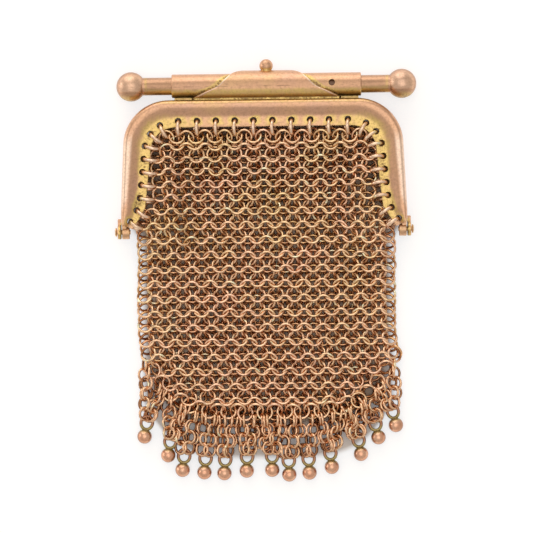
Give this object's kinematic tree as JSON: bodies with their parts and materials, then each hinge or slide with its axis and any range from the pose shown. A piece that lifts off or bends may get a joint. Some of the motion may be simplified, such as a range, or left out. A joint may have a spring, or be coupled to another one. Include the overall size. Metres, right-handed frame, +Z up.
{
  "type": "metal mesh purse",
  "caption": "Small rose-gold mesh purse, lying closed: arched hinged frame, sliding clasp bar with ball ends, fringe with ball drops",
  "frame": {"origin": "centre of the purse's outline, on the surface that it lies on", "axes": "+X to the right, +Y along the surface towards the clasp, +Z up, away from the surface"},
  "size_m": [0.0516, 0.072, 0.0051],
  "materials": {
    "rose_gold": "satin",
    "mesh_gold": "satin"
  },
  "bodies": {
    "purse": {"frame_front": "rose_gold", "frame_back": "rose_gold", "hinge_pin_left": "rose_gold", "hinge_pin_right": "rose_gold", "mesh_front": "mesh_gold", "mesh_back": "mesh_gold", "fringe_mesh": "mesh_gold", "frame_ring_01": "rose_gold", "frame_ring_02": "rose_gold", "frame_ring_03": "rose_gold", "frame_ring_04": "rose_gold", "frame_ring_05": "rose_gold", "frame_ring_06": "rose_gold", "frame_ring_07": "rose_gold", "frame_ring_08": "rose_gold", "frame_ring_09": "rose_gold", "frame_ring_10": "rose_gold", "frame_ring_11": "rose_gold", "frame_ring_12": "rose_gold", "frame_ring_13": "rose_gold", "frame_ring_14": "rose_gold", "frame_ring_15": "rose_gold", "frame_ring_16": "rose_gold", "frame_ring_17": "rose_gold", "frame_ring_18": "rose_gold", "frame_ring_19": "rose_gold", "frame_ring_20": "rose_gold", "frame_ring_21": "rose_gold", "frame_ring_22": "rose_gold", "frame_ring_23": "rose_gold", "frame_ring_24": "rose_gold", "frame_ring_25": "rose_gold", "frame_ring_26": "rose_gold", "frame_ring_27": "rose_gold", "frame_ring_28": "rose_gold", "fringe_ball_01": "rose_gold", "fringe_ball_02": "rose_gold", "fringe_ball_03": "rose_gold", "fringe_ball_04": "rose_gold", "fringe_ball_05": "rose_gold", "fringe_ball_06": "rose_gold", "fringe_ball_07": "rose_gold", "fringe_ball_08": "rose_gold", "fringe_ball_09": "rose_gold", "fringe_ball_10": "rose_gold", "fringe_ball_11": "rose_gold", "fringe_ball_12": "rose_gold", "fringe_ball_13": "rose_gold"},
    "clasp_bar": {"clasp_bar": "rose_gold"}
  },
  "joints": [
    {"name": "bar_slide", "type": "slide", "parent": "purse", "child": "clasp_bar", "axis": [1, 0, 0], "range_m": [-0.002, 0.002]}
  ]
}
